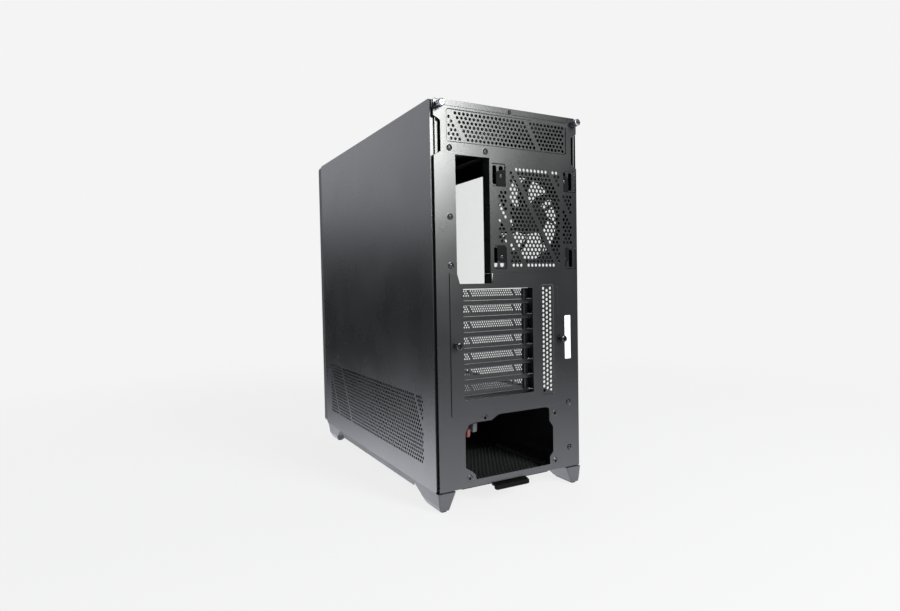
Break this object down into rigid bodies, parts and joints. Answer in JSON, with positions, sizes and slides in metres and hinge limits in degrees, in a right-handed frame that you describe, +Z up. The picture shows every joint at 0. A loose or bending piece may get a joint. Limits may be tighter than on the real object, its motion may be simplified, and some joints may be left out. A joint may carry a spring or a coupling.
{
  "type": "desktop computer tower",
  "caption": "Upright steel computer case, empty, with a vented rear, removable side, top and front panels, fans, card-slot bracket, drive trays and a slide-out filter.",
  "frame": {"origin": "on the floor under the middle of the case's bounding box", "axes": "+Z up, -Y towards the front cover, +Y out of the rear panel, +X out of the steel side panel"},
  "size_m": [0.23, 0.488, 0.514],
  "materials": {
    "coated_steel": "satin charcoal powder coat",
    "perforated_steel": "satin charcoal powder coat on perforated sheet",
    "glass": "clear tempered glass with a faint green edge",
    "black_plastic": "fine moulded texture",
    "fan_plastic": "semi-matte moulded plastic",
    "foot_plastic": "fine moulded texture, dark grey",
    "rubber": "matte",
    "screw_steel": "bright nickel plate",
    "nylon_mesh": "fine woven nylon",
    "circuit_board": "solder mask over glass fibre",
    "red_cable": "extruded sleeve",
    "grey_cable": "extruded sleeve"
  },
  "bodies": {
    "chassis": {"drive_cage": "coated_steel", "floor_pan": "coated_steel", "foot_front_left": "foot_plastic", "foot_front_left_pad": "rubber", "foot_front_right": "foot_plastic", "foot_front_right_pad": "rubber", "foot_rear_left": "foot_plastic", "foot_rear_left_pad": "rubber", "foot_rear_right": "foot_plastic", "foot_rear_right_pad": "rubber", "front_fan_1_frame": "fan_plastic", "front_fan_2_frame": "fan_plastic", "front_fan_3_frame": "fan_plastic", "front_frame": "coated_steel", "motherboard_tray": "coated_steel", "panel_cable": "red_cable", "panel_plug": "red_cable", "port_board": "circuit_board", "port_housing": "black_plastic", "psu_pad_left": "rubber", "psu_pad_right": "rubber", "psu_shroud": "coated_steel", "rear_fan_frame": "fan_plastic", "rear_panel_lower": "coated_steel", "rear_panel_upper": "coated_steel", "ssd_bracket_lower": "coated_steel", "ssd_bracket_upper": "coated_steel", "top_frame": "coated_steel", "usb_cable": "grey_cable", "usb_plug": "grey_cable"},
    "side_panel": {"side_panel_steel": "coated_steel"},
    "glass_panel": {"glass_frame": "coated_steel", "glass_pane": "glass"},
    "top_cover": {"top_cover": "perforated_steel", "top_filter": "nylon_mesh", "top_cover_screw": "screw_steel"},
    "front_cover": {"front_cover": "black_plastic", "front_grille": "perforated_steel", "front_filter": "nylon_mesh"},
    "slot_bracket": {"slot_bracket": "coated_steel", "slot_cover_1": "perforated_steel", "slot_cover_2": "perforated_steel", "slot_cover_3": "perforated_steel", "slot_cover_4": "perforated_steel", "slot_cover_5": "perforated_steel", "slot_cover_6": "perforated_steel", "slot_cover_7": "perforated_steel"},
    "bracket_screw_right": {"bracket_screw_right": "screw_steel"},
    "bracket_screw_left": {"bracket_screw_left": "screw_steel"},
    "corner_screw_right": {"corner_screw_right": "screw_steel"},
    "corner_screw_left": {"corner_screw_left": "screw_steel"},
    "psu_filter": {"psu_filter": "black_plastic"},
    "drive_tray_lower": {"drive_tray_lower": "black_plastic"},
    "drive_tray_upper": {"drive_tray_upper": "black_plastic"},
    "power_button": {"power_button": "black_plastic"},
    "reset_button": {"reset_button": "black_plastic"},
    "rear_fan_wheel": {"rear_fan_rotor": "fan_plastic"},
    "front_fan_1_wheel": {"front_fan_1_rotor": "fan_plastic"},
    "front_fan_2_wheel": {"front_fan_2_rotor": "fan_plastic"},
    "front_fan_3_wheel": {"front_fan_3_rotor": "fan_plastic"}
  },
  "joints": [
    {"name": "side_panel_pull", "type": "slide", "parent": "chassis", "child": "side_panel", "axis": [1, 0, 0], "range_m": [0, 0.12]},
    {"name": "glass_panel_pull", "type": "slide", "parent": "chassis", "child": "glass_panel", "axis": [-1, 0, 0], "range_m": [0, 0.12]},
    {"name": "top_cover_lift", "type": "slide", "parent": "chassis", "child": "top_cover", "axis": [0, 0, 1], "range_m": [0, 0.06]},
    {"name": "front_cover_pull", "type": "slide", "parent": "chassis", "child": "front_cover", "axis": [0, -1, 0], "range_m": [0, 0.06]},
    {"name": "slot_bracket_pull", "type": "slide", "parent": "chassis", "child": "slot_bracket", "axis": [0, 1, 0], "range_m": [0, 0.05]},
    {"name": "bracket_screw_right_back_out", "type": "slide", "parent": "slot_bracket", "child": "bracket_screw_right", "axis": [0, 1, 0], "range_m": [0, 0.005]},
    {"name": "bracket_screw_left_back_out", "type": "slide", "parent": "slot_bracket", "child": "bracket_screw_left", "axis": [0, 1, 0], "range_m": [0, 0.005]},
    {"name": "corner_screw_right_back_out", "type": "slide", "parent": "chassis", "child": "corner_screw_right", "axis": [0, 1, 0], "range_m": [0, 0.005]},
    {"name": "corner_screw_left_back_out", "type": "slide", "parent": "chassis", "child": "corner_screw_left", "axis": [0, 1, 0], "range_m": [0, 0.005]},
    {"name": "psu_filter_pull", "type": "slide", "parent": "chassis", "child": "psu_filter", "axis": [0, 1, 0], "range_m": [0, 0.15]},
    {"name": "drive_tray_lower_pull", "type": "slide", "parent": "chassis", "child": "drive_tray_lower", "axis": [1, 0, 0], "range_m": [0, 0.1]},
    {"name": "drive_tray_upper_pull", "type": "slide", "parent": "chassis", "child": "drive_tray_upper", "axis": [1, 0, 0], "range_m": [0, 0.1]},
    {"name": "power_button_press", "type": "slide", "parent": "chassis", "child": "power_button", "axis": [0, 0, -1], "range_m": [0, 0.0015], "stiffness_N_per_m": 400},
    {"name": "reset_button_press", "type": "slide", "parent": "chassis", "child": "reset_button", "axis": [0, 0, -1], "range_m": [0, 0.0015], "stiffness_N_per_m": 400},
    {"name": "rear_fan_spin", "type": "hinge", "parent": "chassis", "child": "rear_fan_wheel", "pos_m": [-0.0388, 0.2182, 0.3738], "axis": [0, 1, 0], "continuous": true},
    {"name": "front_fan_1_spin", "type": "hinge", "parent": "chassis", "child": "front_fan_1_wheel", "pos_m": [-0.01, -0.2002, 0.19], "axis": [0, 1, 0], "continuous": true},
    {"name": "front_fan_2_spin", "type": "hinge", "parent": "chassis", "child": "front_fan_2_wheel", "pos_m": [-0.01, -0.2002, 0.3103], "axis": [0, 1, 0], "continuous": true},
    {"name": "front_fan_3_spin", "type": "hinge", "parent": "chassis", "child": "front_fan_3_wheel", "pos_m": [-0.01, -0.2002, 0.4306], "axis": [0, 1, 0], "continuous": true}
  ],
  "couplings": [
    {"joint": "drive_tray_lower_pull", "follows": "side_panel_pull", "ratio": 0.8},
    {"joint": "drive_tray_upper_pull", "follows": "side_panel_pull", "ratio": 0.8}
  ]
}
